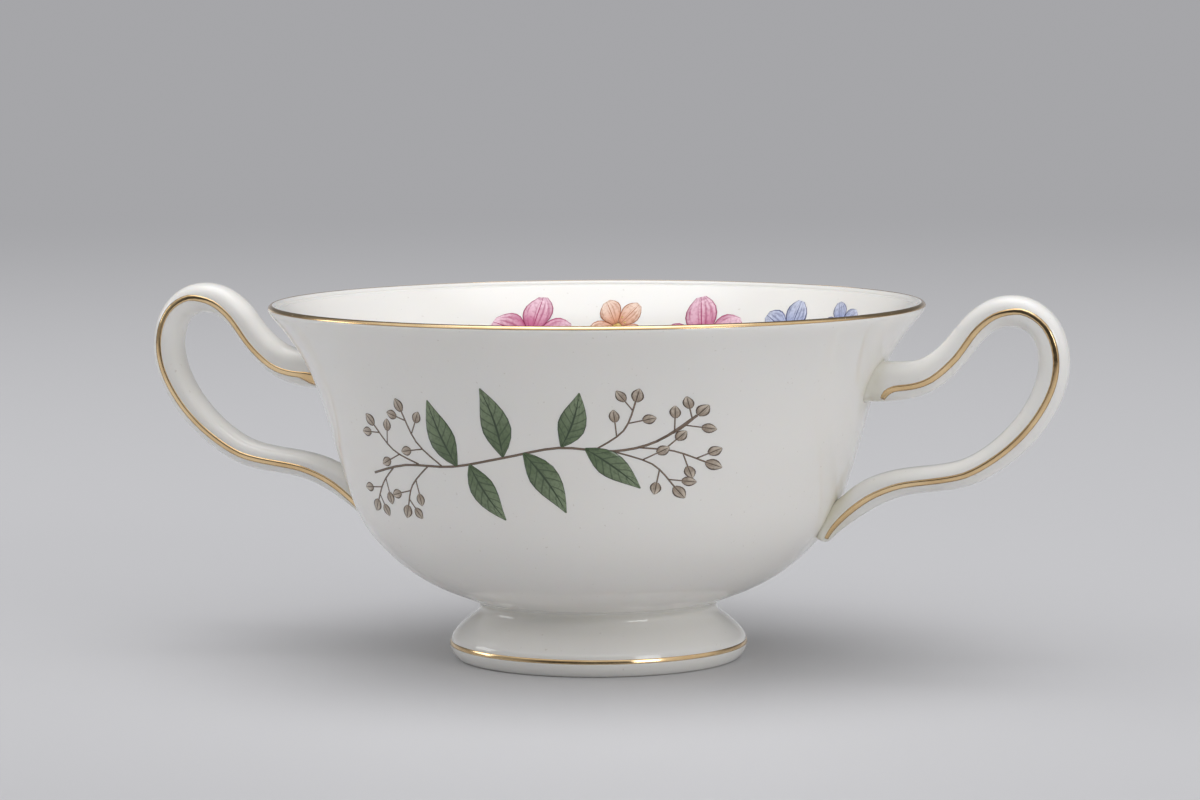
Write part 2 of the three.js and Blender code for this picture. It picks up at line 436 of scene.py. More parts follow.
# Handles, from the upper joint round to the lower one
handle = {
    "upperJoint": 51.5,      # heights on the wall
    "lowerJoint": 22.5,
    "reach": 32.2,
    "depth": 5.3,            # in the plane of the loop
    "width": 6.6,            # across it
    # out as a share of the reach, down as a share of the way between the joints, then depth and
    # width as shares, and the lean of the section in degrees
    "course": [
        [-0.055, -0.004, 1.36, 1.1, -20], [0.005, -0.006, 1.36, 1.08, -18], [0.07, -0.01, 1.35, 1.06, -10],
        [0.2, -0.022, 1.26, 1.04, -3], [0.31, -0.07, 1.12, 1.03, 0], [0.4, -0.2, 0.99, 1.01, 0],
        [0.455, -0.35, 0.98, 1, 0], [0.55, -0.45, 1.04, 1, 0], [0.7, -0.455, 1.06, 1, 0],
        [0.85, -0.36, 1.02, 1, 0], [0.955, -0.2, 1.02, 1, 0], [1, -0.025, 1.02, 1, 0],
        [0.99, 0.145, 1, 1, 0], [0.94, 0.297, 0.98, 1, 0], [0.85, 0.434, 0.94, 1, 0],
        [0.72, 0.541, 0.92, 1, 0], [0.55, 0.583, 0.88, 0.98, 0], [0.37, 0.612, 0.9, 0.96, 0],
        [0.212, 0.688, 1, 0.93, 0], [0.108, 0.81, 0.86, 0.9, 0], [0.064, 0.905, 0.6, 0.88, 0],
        [0.05, 0.96, 0.46, 0.86, 0], [0.048, 0.985, 0.36, 0.82, 0],
    ],
    "square": 2.04,          # the section starts as a square round a unit circle
    "corner": 0.84,          # cut off each corner
    "cornerSteps": 4,
    "endInset": 0.4,
    "swellReach": 1.0,       # distance from the wall at which the joint starts to swell
    "swell": 0.25,
}


def handleRows():
    upper = [wallRadiusAt(handle["upperJoint"]), handle["upperJoint"]]
    lower = [wallRadiusAt(handle["lowerJoint"]), handle["lowerJoint"]]
    rows = [
        [
            blend(upper[0], lower[0], down) + out * handle["reach"], blend(upper[1], lower[1], down),
            depth * handle["depth"] / 2, width * handle["width"] / 2, lean,
        ]
        for out, down, depth, width, lean in handle["course"]
    ]
    return smoothRows(rows, 2)


def buildHandle():
    rows = handleRows()
    stations = [
        [row[0], row[1], direction + row[4], row[2], row[3]]
        for row, direction in zip(rows, pathDirections(rows))
    ]
    piece = startPlane("rightHandle", handle["square"])
    bpy.ops.mesh.select_all(action="SELECT")
    bpy.ops.mesh.bevel(
        offset=handle["corner"], segments=handle["cornerSteps"], affect="VERTICES", clamp_overlap=False,
    )
    bpy.ops.mesh.select_all(action="SELECT")
    drawAlong(stations)
    bpy.ops.mesh.edge_face_add()
    bpy.ops.mesh.inset(thickness=handle["endInset"] * mm)
    tidyMesh()
    applyModifier(piece, "SUBSURF", levels=2, render_levels=2)
    return piece


# Glaze gathers where a handle meets the wall: the nearer the wall, the further the surface swells
def swellAtWall(piece, wall, reach, swell):
    piece.vertex_groups.new(name="nearWall").add(range(len(piece.data.vertices)), 1, "REPLACE")
    applyModifier(
        piece, "VERTEX_WEIGHT_PROXIMITY", vertex_group="nearWall", target=wall, proximity_mode="GEOMETRY",
        proximity_geometry={"FACE"}, min_dist=reach * mm, max_dist=0, falloff_type="SMOOTH",
    )
    applyModifier(piece, "DISPLACE", vertex_group="nearWall", strength=swell * mm, mid_level=0)


# Gold lines on the handles' side faces: angle round the section per station, positive outwards
handleLine = {
    "width": 1.08,
    "lift": 0.04,            # above the glaze
    "thickness": 0.1,
    "tail": 0.5,             # share of the width at the tail, and what each row before it gains
    "tailStep": 0.1,
    "start": -8,             # flat work starts this far in front of the handle, in mm
    "angles": [
        0, -4, -9, -14, -18, -20, -17, -8, 3, 10, 13, 13, 10, 7, 4, 3, 4, 7, 11, 14, 20, 30, 36,
    ],
    "from": 3,               # first and last station of the course that carry the line
    "to": 21,
    # from the line's start at the upper joint: across, up, and a share of the width or the width in mm
    "hook": [[-4.6, -2.3, 0.7], [-3.7, -1.1, 1], [-2.2, -0.3, 1]],
    "patch": [
        [-5.7, -2.35, 0.4], [-5.0, -1.6, 1.5], [-4.1, -0.95, 2.2], [-2.9, -0.5, 1.8], [-1.5, -0.15, 1.15],
    ],
}


def linePath():
    rows = handleRows()
    directions = pathDirections(rows)
    angles = smoothRows([[angle] for angle in handleLine["angles"]], 2)
    path = []
    for row, direction, (angle,) in zip(rows, directions, angles):
        share = math.sin(math.radians(abs(angle))) ** 0.8 * (1 if angle > 0 else -1)
        outwards = math.radians(direction + 90)
        path.append([
            row[0] + share * row[2] * math.cos(outwards), row[1] + share * row[2] * math.sin(outwards),
        ])
    return path[2 * handleLine["from"]:2 * handleLine["to"] + 1]


# A row of edges drawn along a path of [x, z, width]; the row lies in the plane of the handles
def drawBlade(name, path, columns):
    piece = startPlane(name, 1)
    selectWhere(piece, lambda place: place.y > 0)
    bpy.ops.mesh.delete(type="VERT")
    bpy.ops.mesh.select_all(action="SELECT")
    bpy.ops.mesh.subdivide(number_cuts=columns - 1)
    bpy.ops.transform.translate(value=(0, 0.5, 0))
    directions = pathDirections(path)
    drawAlong([[x, z, direction, width, 1] for (x, z, width), direction in zip(path, directions)])
    stopEditing()
    spreadUv(piece, path, directions)
    bpy.ops.object.shade_smooth()
    return piece


# Across the blade is u from 0 to 1, and along it v from 0 to 1
def spreadUv(piece, path, directions):
    uvs = {}
    for vertex in piece.data.vertices:
        best = None
        for i, ((x, z, width), direction) in enumerate(zip(path, directions)):
            away = Vector((vertex.co.x / mm - x, vertex.co.z / mm - z))
            angle = math.radians(direction)
            ahead = away.x * math.cos(angle) + away.y * math.sin(angle)
            aside = away.x * math.sin(angle) - away.y * math.cos(angle)
            miss = abs(ahead) + max(abs(aside) - width / 2, 0)
            if best is None or miss < best[0]:
                best = (miss, 0.5 + aside / width, i / (len(path) - 1))
        uvs[vertex.index] = best[1:]
    layer = freshUv(piece, "blade")
    for loop in piece.data.loops:
        layer.data[loop.index].uv = uvs[loop.vertex_index]


# Lays flat work on a surface along Y, a little above the glaze, and gives it a thickness
def layOn(piece, surface, fromY, lift, thickness):
    editAll(piece)
    bpy.ops.transform.translate(value=(0, fromY * mm, 0))
    stopEditing()
    applyModifier(
        piece, "SHRINKWRAP", target=surface, wrap_method="PROJECT", use_project_y=True,
        use_negative_direction=False, use_positive_direction=True,
        wrap_mode="ABOVE_SURFACE", offset=lift * mm,
    )
    editAll(piece)
    bpy.ops.mesh.normals_make_consistent(inside=False)
    stopEditing()
    faceFront(piece)
    applyModifier(piece, "SOLIDIFY", thickness=thickness * mm, offset=-1)


# Open sheets get their front side towards -Y, where they are seen from
def faceFront(piece):
    facing = sum(polygon.normal.y * polygon.area for polygon in piece.data.polygons)
    if facing > 0:
        editAll(piece)
        bpy.ops.mesh.flip_normals()
        stopEditing()


# From a handle's front face to its back one
def mirrorAcross(piece):
    editAll(piece)
    bpy.ops.transform.resize(value=(1, -1, 1), center_override=(0, 0, 0))
    bpy.ops.mesh.normals_make_consistent(inside=False)
    stopEditing()


def buildHandleLines(handlePiece):
    path = linePath()
    start, up = path[0]
    width = handleLine["width"]
    hook = [[start + x, up + z, width * share] for x, z, share in handleLine["hook"]]
    patch = [[start + x, up + z, across] for x, z, across in handleLine["patch"]]
    left = len(path) - 1
    shares = [min(handleLine["tail"] + handleLine["tailStep"] * (left - i), 1) for i in range(left + 1)]
    broad = [[x, z, width * share] for (x, z), share in zip(path, shares)]
    front = drawBlade("rightHandleFrontGold", smoothRows(hook + broad, 2), 4)
    back = drawBlade("rightHandleBackGold", smoothRows(patch + broad, 2), 4)
    for line in (front, back):
        layOn(line, handlePiece, handleLine["start"], handleLine["lift"], handleLine["thickness"])
    mirrorAcross(back)
    return front, back


def stepFrom(x, z, direction, reach):
    angle = math.radians(direction)
    return [x + reach * math.cos(angle), z + reach * math.sin(angle)]


# A leaf or petal: widths along it, drawn from its base in a gentle bend
def bladePath(x, z, direction, length, width, form, bend=0):
    path = []
    step = length / (len(form) - 1)
    for i, share in enumerate(form):
        path.append([x, z, max(width * share, 0.05)])
        x, z = stepFrom(x, z, direction + bend * (i / (len(form) - 1) - 0.5), step)
    return path


def flatDisc(x, z, diameter):
    form = [0.3, 0.72, 0.94, 1, 0.94, 0.72, 0.3]
    return drawBlade("disc", bladePath(x - diameter / 2, z, 0, diameter, diameter, form), 5)


# Printed spray outside, between the handles: places in mm as seen from the front
outsideSpray = {
    "stem": [[-30, 37], [-22, 39.2], [-12, 39.6], [-2, 41.6], [8, 43.6], [17, 43], [24, 44.6], [30.5, 49]],
    "stemWidth": 0.42,
    "twigWidth": 0.28,
    "leafForm": [0.08, 0.5, 0.82, 1, 0.98, 0.84, 0.6, 0.32, 0.04],
    # base x, base z, direction, length, width, bend
    "leaves": [
        [-11, 39.8, 110, 12.5, 5.2, -22], [-8.5, 40.2, -58, 11.5, 4.8, 20], [-2, 41.8, 104, 12.5, 5.4, 18],
        [1.8, 42.6, -60, 12.5, 5.2, -20], [8.5, 43.8, 68, 10.5, 4.6, 20], [12.5, 43.5, -42, 11, 4.6, -16],
    ],
    "twigs": [
        [[-14, 39.5], [-19, 43.6], [-21.5, 49]], [[-19, 39.6], [-24.5, 41.8], [-28.5, 46]],
        [[-17, 39.4], [-21, 35.6], [-22.5, 31.8]], [[-25, 38.4], [-28, 35.4], [-30, 32]],
        [[14, 43.2], [19, 46.6], [21.5, 51.8]], [[17, 43], [23, 40.6], [26, 36.4]],
        [[21, 43.6], [26.5, 42.8], [31, 40.6]], [[24, 44.6], [27.8, 46.7], [30.5, 49]],
    ],
    # share of the way along the twig, side of it, reach of the stalk
    "buds": [[0.42, 1, 2.6], [0.66, -1, 2.4], [0.86, 1, 2.0], [1, 0, 0.4]],
    "budTurn": 52,
    "budSize": 2.0,
    "budForm": [0.35, 0.75, 0.96, 1, 0.86, 0.55, 0.12],
    "stalkWidth": 0.22,
    "start": -90,            # flat work starts this far in front of the axis, in mm
    "lifts": {"twigs": 0.03, "leaves": 0.04, "buds": 0.05},    # above the glaze, in mm
}

# Printed flowers inside the wall, the highest just under the lip
insideSpray = {
    "stem": [[-38, 50], [-28, 45], [-15, 46], [-3, 43], [9, 46], [22, 46], [33, 51], [42, 57]],
    "stemWidth": 0.4,
    "petalForm": [0.22, 0.5, 0.76, 0.94, 1, 0.93, 0.7, 0.3],
    # shares of a blossom's diameter
    "petalBase": 0.06,
    "petalLength": 0.44,
    "petalWidth": 0.36,
    "eyeSize": 0.17,
    "stamenReach": [0.18, 0.15],
    "stamenSize": 0.035,
    # x, z, diameter, turn, finish
    "blossoms": [
        [-27, 55, 14.5, 12, "pink"], [-11.5, 56.6, 11, 50, "peach"], [6, 53.5, 18, 30, "pink"],
        [24.5, 56, 13, 4, "blue"], [36.5, 58.6, 8.5, 40, "blue"], [-17, 41, 8, 20, "blue"],
        [17, 40.5, 9.5, 60, "peach"],
    ],
    "leaves": [
        [-33, 49.5, 150, 9, 3.6, 20], [-20, 47, 68, 9, 3.4, 20], [-5, 44.5, -70, 9.5, 3.8, 18],
        [-2, 45, 118, 9, 3.4, -20], [13, 47, -100, 8, 3.2, 10], [27, 48.5, -30, 9, 3.6, 24],
        [31, 50.5, 96, 8, 3, -16], [-24, 45.5, -118, 8.5, 3.4, -18],
    ],
    "start": 0,
    "lifts": {"stem": 0.02, "leaves": 0.03, "petals": 0.04, "centres": 0.06},
}
printSeat = 0.02             # how far the underside of the print lies in the glaze, in mm


def pathWithWidth(points, width, steps=4):
    return [[x, z, width] for x, z in smoothRows(points, steps)]


def alongPath(points, share):
    rows = smoothRows(points, 8)
    place = min(int(share * (len(rows) - 1)), len(rows) - 2)
    start, end = rows[place], rows[place + 1]
    return start, math.degrees(math.atan2(end[1] - start[1], end[0] - start[0]))


def buildTwigs(spray):
    strips = [drawBlade("strip", pathWithWidth(spray["stem"], spray["stemWidth"]), 2)]
    buds = []
    for twig in spray["twigs"]:
        strips.append(drawBlade("strip", pathWithWidth(twig, spray["twigWidth"]), 2))
        for share, side, reach in spray["buds"]:
            (x, z), direction = alongPath(twig, share)
            direction += spray["budTurn"] * side
            tip = stepFrom(x, z, direction, reach)
            strips.append(drawBlade("strip", pathWithWidth([[x, z], tip], spray["stalkWidth"], 3), 2))
            size = spray["budSize"] * (1 - 0.12 * abs(side))
            path = bladePath(*tip, direction, size * 1.25, size, spray["budForm"])
            buds.append(drawBlade("bud", path, 4))
    return joinPieces(strips, "twigs"), joinPieces(buds, "buds")


def buildLeaves(spray, form):
    blades = [
        drawBlade("leaf", bladePath(x, z, direction, length, width, form, bend), 6)
        for x, z, direction, length, width, bend in spray["leaves"]
    ]
    return joinPieces(blades, "leaves")


def buildBlossoms(spray, finish):
    petals = []
    centres = []
    for x, z, diameter, turn, colour in spray["blossoms"]:
        if colour != finish:
            continue
        length = diameter * spray["petalLength"]
        width = diameter * spray["petalWidth"]
        for i in range(5):
            direction = turn + i * 72
            base = stepFrom(x, z, direction, spray["petalBase"] * diameter)
            petal = bladePath(*base, direction, length, width, spray["petalForm"], 6)
            petals.append(drawBlade("petal", petal, 6))
        centres.append(flatDisc(x, z, diameter * spray["eyeSize"]))
        for i in range(10):
            dot = stepFrom(x, z, turn + 36 * i + 18, diameter * spray["stamenReach"][i % 2])
            centres.append(flatDisc(*dot, diameter * spray["stamenSize"]))
    return joinPieces(petals, "petals"), joinPieces(centres, "centres")


# Shared shader pieces: nodes are laid out in rows, in the order in which they are added
nodeLayout = {"perRow": 8, "acrossStep": 200, "downStep": 320}


def addNode(tree, kind, inputs=None, **settings):
    row, column = divmod(len(tree.nodes), nodeLayout["perRow"])
    node = tree.nodes.new(kind)
    node.location = (column * nodeLayout["acrossStep"], -row * nodeLayout["downStep"])
    for key, value in settings.items():
        setattr(node, key, value)
    for key, value in (inputs or {}).items():
        if isinstance(value, bpy.types.NodeSocket):
            tree.links.new(value, node.inputs[key])
        else:
            node.inputs[key].default_value = value
    return node


def mixColour(tree, factor, first, second):
    inputs = {0: factor, 6: first, 7: second}
    return addNode(tree, "ShaderNodeMix", inputs, data_type="RGBA").outputs[2]


def soften(tree, value, low, high, toLow=0.0, toHigh=1.0):
    limits = {"Value": value, "From Min": low, "From Max": high, "To Min": toLow, "To Max": toHigh}
    return addNode(tree, "ShaderNodeMapRange", limits, interpolation_type="SMOOTHSTEP").outputs[0]


def calculate(tree, operation, first, second=0.0, third=0.0):
    inputs = {0: first, 1: second, 2: third}
    return addNode(tree, "ShaderNodeMath", inputs, operation=operation).outputs[0]


def calculateMix(tree, factor, first, second):
    inputs = {0: factor, 2: first, 3: second}
    return addNode(tree, "ShaderNodeMix", inputs, data_type="FLOAT").outputs[0]


def vectorMath(tree, operation, *inputs):
    return addNode(tree, "ShaderNodeVectorMath", dict(enumerate(inputs)), operation=operation).outputs


def splitAxes(tree, vector):
    return addNode(tree, "ShaderNodeSeparateXYZ", {0: vector}).outputs


def coordinatesOf(tree):
    return addNode(tree, "ShaderNodeTexCoord").outputs


def noise(tree, place, scale, detail=2.0, rough=0.5):
    inputs = {"Vector": place, "Scale": scale, "Detail": detail, "Roughness": rough}
    return addNode(tree, "ShaderNodeTexNoise", inputs).outputs["Fac"]


def addSockets(group, direction, colours, numbers):
    for label in colours:
        group.interface.new_socket(name=label, in_out=direction, socket_type="NodeSocketColor")
    for label in numbers:
        group.interface.new_socket(name=label, in_out=direction, socket_type="NodeSocketFloat")


def startGroup(name, colours, numbers):
    group = bpy.data.node_groups.new(name, "ShaderNodeTree")
    addSockets(group, "INPUT", colours, numbers)
    return group, addNode(group, "NodeGroupInput").outputs


def endGroup(group, colour, **numbers):
    addSockets(group, "OUTPUT", ["Colour"], numbers)
    addNode(group, "NodeGroupOutput", {"Colour": colour, **numbers})
    return group


# Clear glaze over bone-white body: broad tone, fine specks, and a darker tint where asked, which is glaze
# gathered in corners with painted shade in their creases on the glazed pieces, and soil on the bare ring
def makeGlazeFilm():
    group, given = startGroup("glazeFilm", ["Body", "Tint And Shade Colour"], ["Tint And Shade"])
    place = coordinatesOf(group)["Object"]
    broad = soften(group, noise(group, place, 22, 2), 0.35, 0.65)
    warm = mixColour(group, 0.035, given["Body"], (0.62, 0.50, 0.33, 1))
    body = mixColour(group, broad, given["Body"], warm)
    speckNoise = noise(group, place, 1500, 1)
    specks = soften(group, speckNoise, 0.74, 0.8, 0, 0.22)
    body = mixColour(group, specks, body, (0.42, 0.36, 0.28, 1))
    # patchy darker tint: on the glazed pieces gathered glaze and painted crease shade, on the bare ring
    # soil
    tintAndShadeMask = noise(group, place, 260, 3)
    uneven = soften(group, tintAndShadeMask, 0.2, 0.7, 0.55, 1)
    tintAndShade = calculate(group, "MULTIPLY", given["Tint And Shade"], uneven)
    colour = mixColour(group, tintAndShade, body, given["Tint And Shade Colour"])
    rough = soften(group, broad, 0, 1, 0.035, 0.07)
    ripple = noise(group, place, 75, 2)
    return endGroup(group, colour, Roughness=rough, Height=ripple)


# Burnished gold, browner and thinner at its edges, with a few pin-holes down to the glaze
def makeWornGold():
    group, given = startGroup("wornGold", ["Bright", "Deep"], ["Across"])
    place = coordinatesOf(group)["Object"]
    brushed = noise(group, place, 130, 3)
    grain = noise(group, place, 1100, 4, 0.6)
    fromMiddle = calculate(group, "SUBTRACT", given["Across"], 0.5)
    fromMiddle = calculate(group, "ABSOLUTE", fromMiddle)
    ragged = calculate(group, "MULTIPLY_ADD", grain, 0.16, -0.08)
    edge = calculate(group, "ADD", fromMiddle, ragged)
    thin = soften(group, edge, 0.3, 0.5)
    tone = soften(group, brushed, 0.3, 0.7, 0, 0.55)
    colour = mixColour(group, tone, given["Bright"], given["Deep"])
    thinned = calculate(group, "MULTIPLY", thin, 0.75)
    colour = mixColour(group, thinned, colour, given["Deep"])
    pits = soften(group, grain, 0.71, 0.74)
    colour = mixColour(group, pits, colour, (0.62, 0.55, 0.44, 1))
    metal = calculate(group, "SUBTRACT", 1, pits)
    # the film is thickest in the middle, which rounds its reflections off towards the edges
    fallAway = calculate(group, "MULTIPLY", fromMiddle, fromMiddle)
    rounded = calculate(group, "MULTIPLY_ADD", fallAway, -4, 1)
    height = calculate(group, "MULTIPLY_ADD", grain, 0.03, rounded)
    rough = soften(group, grain, 0.2, 0.8, 0.09, 0.2)
    return endGroup(group, colour, Roughness=rough, Height=height, Metallic=metal)


# Fired enamel on a leaf or petal: shaded from base to tip, with a midrib, side veins and an outline
def makeEnamelPrint():
    numbers = ["Veins", "Slant", "Vein Strength", "Rib Width", "Outline", "Streaks"]
    group, given = startGroup("enamelPrint", ["Base", "Tip", "Line"], numbers)
    coordinates = coordinatesOf(group)
    stipple = noise(group, coordinates["Object"], 1700, 2)
    wash = noise(group, coordinates["Object"], 320, 3)
    across = splitAxes(group, coordinates["UV"])
    aside = calculate(group, "SUBTRACT", across[0], 0.5)
    side = calculate(group, "MULTIPLY", calculate(group, "ABSOLUTE", aside), 2)
    uneven = calculate(group, "MULTIPLY", wash, 0.5)
    shade = calculate(group, "ADD", across[1], uneven)
    shade = soften(group, shade, 0.2, 1.25)
    colour = mixColour(group, shade, given["Base"], given["Tip"])
    darker = mixColour(group, 0.35, colour, given["Line"])
    colour = mixColour(group, soften(group, stipple, 0.45, 0.7), colour, darker)
    alongBlade = (coordinates["UV"], (8, 1.1, 0), coordinates["Object"])
    strokes = noise(group, vectorMath(group, "MULTIPLY_ADD", *alongBlade)[0], 1, 2)
    strokes = soften(group, strokes, 0.47, 0.68)
    strokes = calculate(group, "MULTIPLY", strokes, given["Streaks"])
    colour = mixColour(group, strokes, colour, given["Line"])
    run = calculate(group, "MULTIPLY", across[1], given["Veins"])
    drop = calculate(group, "MULTIPLY", side, given["Slant"])
    cycle = calculate(group, "FRACT", calculate(group, "SUBTRACT", run, drop))
    fromVein = calculate(group, "SUBTRACT", cycle, 0.5)
    veins = soften(group, calculate(group, "ABSOLUTE", fromVein), 0.36, 0.46)
    veins = calculate(group, "MULTIPLY", veins, given["Vein Strength"])
    rib = calculate(group, "DIVIDE", side, given["Rib Width"])
    rib = soften(group, calculate(group, "SUBTRACT", 1, rib), 0, 0.5)
    outlineStart = calculate(group, "SUBTRACT", 1, given["Outline"])
    outline = calculate(group, "SUBTRACT", side, outlineStart)
    outline = soften(group, outline, 0, 0.08)
    drawn = calculate(group, "MAXIMUM", veins, rib)
    drawn = calculate(group, "MAXIMUM", drawn, outline)
    colour = mixColour(group, drawn, colour, given["Line"])
    rough = soften(group, wash, 0.2, 0.8, 0.14, 0.26)
    height = calculate(group, "MULTIPLY", drawn, 0.5)
    return endGroup(group, colour, Roughness=rough, Height=height)


def startFinish(name, group, values, relief, depth=0.02):
    material = bpy.data.materials.new(name)
    material.use_nodes = True
    tree = material.node_tree
    shader = tree.nodes["Principled BSDF"]
    film = addNode(tree, "ShaderNodeGroup", node_tree=group)
    for key, value in values.items():
        film.inputs[key].default_value = value
    bump = addNode(tree, "ShaderNodeBump", {
        "Strength": relief, "Distance": depth * mm, "Height": film.outputs["Height"],
    })
    tree.links.new(film.outputs["Colour"], shader.inputs["Base Color"])
    tree.links.new(film.outputs["Roughness"], shader.inputs["Roughness"])
    tree.links.new(bump.outputs[0], shader.inputs["Normal"])
    return material, shader, film


# Closeness to a spot: 1 well inside an ellipsoid round it, 0 half as far out again, alike on all sides
def spotMask(tree, centre, radii):
    both = vectorMath(tree, "ABSOLUTE", coordinatesOf(tree)["Object"])[0]
    away = vectorMath(tree, "SUBTRACT", both, [value * mm for value in centre])[0]
    scaled = vectorMath(tree, "DIVIDE", away, [value * mm for value in radii])[0]
    distance = vectorMath(tree, "LENGTH", scaled)["Value"]
    return soften(tree, distance, 0.75, 1.5, 1, 0)


glaze = {
    "body": (0.915, 0.903, 0.866, 1),
    # tint of gathered glaze, darker also as painted shade in the joints' creases
    "pooledWithShade": (0.73, 0.69, 0.53, 1),
    "relief": 0.25,
    "ior": 1.52,
    "depth": 0.12,           # how much light goes into the translucent body
    "depthRadius": (1.0, 0.8, 0.55),
    "depthScale": 1.6 * mm,
}

# Spots round the joints where glaze gathers and shade falls in the creases, both painted as a darker tint:
# middle and half sizes in mm
poolsAndShade = {
    "upper": [(51.5, 0, handle["upperJoint"]), (3.4, 4.6, 5.2)],
    "lower": [(44.2, 0, 28.5), (4.6, 3.6, 7.6)],
    # the ring at the neck, under the bowl, is painted shade in the crease as well as gathered glaze
    "neck": [
        (0, 0, cup["seatHeight"] - 0.3), (cup["seatRadius"] + 0.6, cup["seatRadius"] + 0.6, 1.3),
    ],
    "onBowl": 0.5,           # strengths
    "onFoot": 0.3,
    "onHandle": 0.6,
}


# 1 where the surface faces away from the cup's axis, 0 on the inside of the wall
def outsideMask(tree):
    place = coordinatesOf(tree)
    level = vectorMath(tree, "MULTIPLY", place["Object"], (1, 1, 0))[0]
    away = vectorMath(tree, "NORMALIZE", level)[0]
    facing = vectorMath(tree, "DOT_PRODUCT", away, place["Normal"])["Value"]
    return soften(tree, facing, -0.1, 0.2)


def porcelainFinish(name, spots, strength, outsideOnly=False):
    values = {"Body": glaze["body"], "Tint And Shade Colour": glaze["pooledWithShade"], "Tint And Shade": 0}
    material, shader, film = startFinish(name, glazeFilm, values, glaze["relief"])
    tree = material.node_tree
    # darker tint round the joints: gathered glaze plus painted shade in the creases, kept off the inside of
    # the wall
    masks = [spotMask(tree, *spot) for spot in spots]
    tintAndShadeMask = masks[0]
    for mask in masks[1:]:
        tintAndShadeMask = calculate(tree, "MAXIMUM", tintAndShadeMask, mask)
    if outsideOnly:
        tintAndShadeMask = calculate(tree, "MULTIPLY", tintAndShadeMask, outsideMask(tree))
    tree.links.new(calculate(tree, "MULTIPLY", tintAndShadeMask, strength), film.inputs["Tint And Shade"])
    shader.inputs["IOR"].default_value = glaze["ior"]
    shader.inputs["Subsurface Weight"].default_value = glaze["depth"]
    shader.inputs["Subsurface Radius"].default_value = glaze["depthRadius"]
    shader.inputs["Subsurface Scale"].default_value = glaze["depthScale"]
    return material


# Bare fired clay on the standing ring, where the glaze was wiped off
bareRing = {
    "colour": (0.80, 0.765, 0.69, 1),
    "soil": (0.45, 0.4, 0.33, 1),
    "soiled": 0.3,
    "relief": 0.9,
    "roughness": 0.75,
    "upTo": 0.1,             # height in mm
}


def dressBareRing(piece):
    values = {"Body": bareRing["colour"], "Tint And Shade Colour": bareRing["soil"], "Tint And Shade": bareRing["soiled"]}
    material, shader = startFinish("bareRing", glazeFilm, values, bareRing["relief"])[:2]
    material.node_tree.links.remove(shader.inputs["Roughness"].links[0])
    shader.inputs["Roughness"].default_value = bareRing["roughness"]
    piece.data.materials.append(material)
    for polygon in piece.data.polygons:
        polygon.material_index = int(polygon.center.z < bareRing["upTo"] * mm)


gold = {
    "colours": {"Bright": (0.93, 0.70, 0.41, 1), "Deep": (0.62, 0.40, 0.18, 1)},
    "bandRounding": 0.02,    # how high the gold stands in its middle, in mm
    "lineRounding": 0.05,
}


def goldFinish(name, rounding):
    material, shader, film = startFinish(name, wornGold, gold["colours"], 1, rounding)
    tree = material.node_tree
    across = splitAxes(tree, coordinatesOf(tree)["UV"])[0]
    tree.links.new(across, film.inputs["Across"])
    tree.links.new(film.outputs["Metallic"], shader.inputs["Metallic"])
    return material


# Enamels: base, tip and line colour, vein count, slant and strength, rib width, outline, brush strokes
enamels = {
    "leafGreen": [
        (0.112, 0.168, 0.080), (0.255, 0.325, 0.190), (0.040, 0.066, 0.034), 7, 1.3, 0.6, 0.10, 0.10, 0.3,
    ],
    "greyGreen": [(0.30, 0.35, 0.26), (0.48, 0.52, 0.40), (0.13, 0.17, 0.11), 5, 0.9, 0.4, 0.16, 0.14, 0.2],
    "twig": [(0.19, 0.135, 0.095), (0.26, 0.19, 0.14), (0.12, 0.085, 0.06), 0, 0, 0, 0.01, 0.35, 0],
    "bud": [(0.38, 0.30, 0.225), (0.70, 0.61, 0.50), (0.12, 0.085, 0.06), 0, 0, 0, 0.14, 0.26, 0.5],
    "pink": [(0.56, 0.085, 0.24), (0.88, 0.60, 0.70), (0.40, 0.03, 0.13), 0, 0, 0, 0.05, 0.10, 0.75],
    "peach": [(0.72, 0.31, 0.17), (0.91, 0.70, 0.57), (0.46, 0.15, 0.06), 0, 0, 0, 0.05, 0.12, 0.6],
    "blue": [(0.31, 0.37, 0.62), (0.66, 0.70, 0.85), (0.085, 0.10, 0.24), 0, 0, 0, 0.05, 0.13, 0.6],
    "centre": [(0.72, 0.45, 0.09), (0.82, 0.60, 0.20), (0.30, 0.13, 0.03), 0, 0, 0, 0.01, 0.35, 0],
}


def enamelFinish(name):
    base, tip, line, veins, slant, strength, rib, outline, streaks = enamels[name]
    values = {
        "Base": (*base, 1), "Tip": (*tip, 1), "Line": (*line, 1), "Veins": veins, "Slant": slant,
        "Vein Strength": strength, "Rib Width": rib, "Outline": outline, "Streaks": streaks,
    }
    material, shader = startFinish(name + "Enamel", enamelPrint, values, 0.5)[:2]
    shader.inputs["IOR"].default_value = 1.5
    return material


# Floor and backdrop: a pale table that fades into a plain backdrop, sooner in front than behind
stage = {
    "floorColour": (0.595, 0.595, 0.605, 1),
    "floorRoughness": 0.55,
    "backdropColour": (0.38, 0.38, 0.395, 1),
    "fadeFrom": 0.16,        # metres from the cup
    "fadeTo": 1.7,
    "floorSize": 60,
    "nearEdge": -0.45,       # the table ends here, in front of the cup and short of the camera
    "nearFade": 3.6,         # distance counts this many times as much in front
}


def mixShaders(tree, factor, first, second):
    inputs = {0: factor, 1: first.outputs[0], 2: second.outputs[0]}
    return addNode(tree, "ShaderNodeMixShader", inputs).outputs[0]


def seenDirectly(tree):
    paths = addNode(tree, "ShaderNodeLightPath").outputs
    seen = calculate(tree, "MAXIMUM", paths["Is Camera Ray"], paths["Is Glossy Ray"])
    return calculate(tree, "MAXIMUM", seen, paths["Is Transmission Ray"])


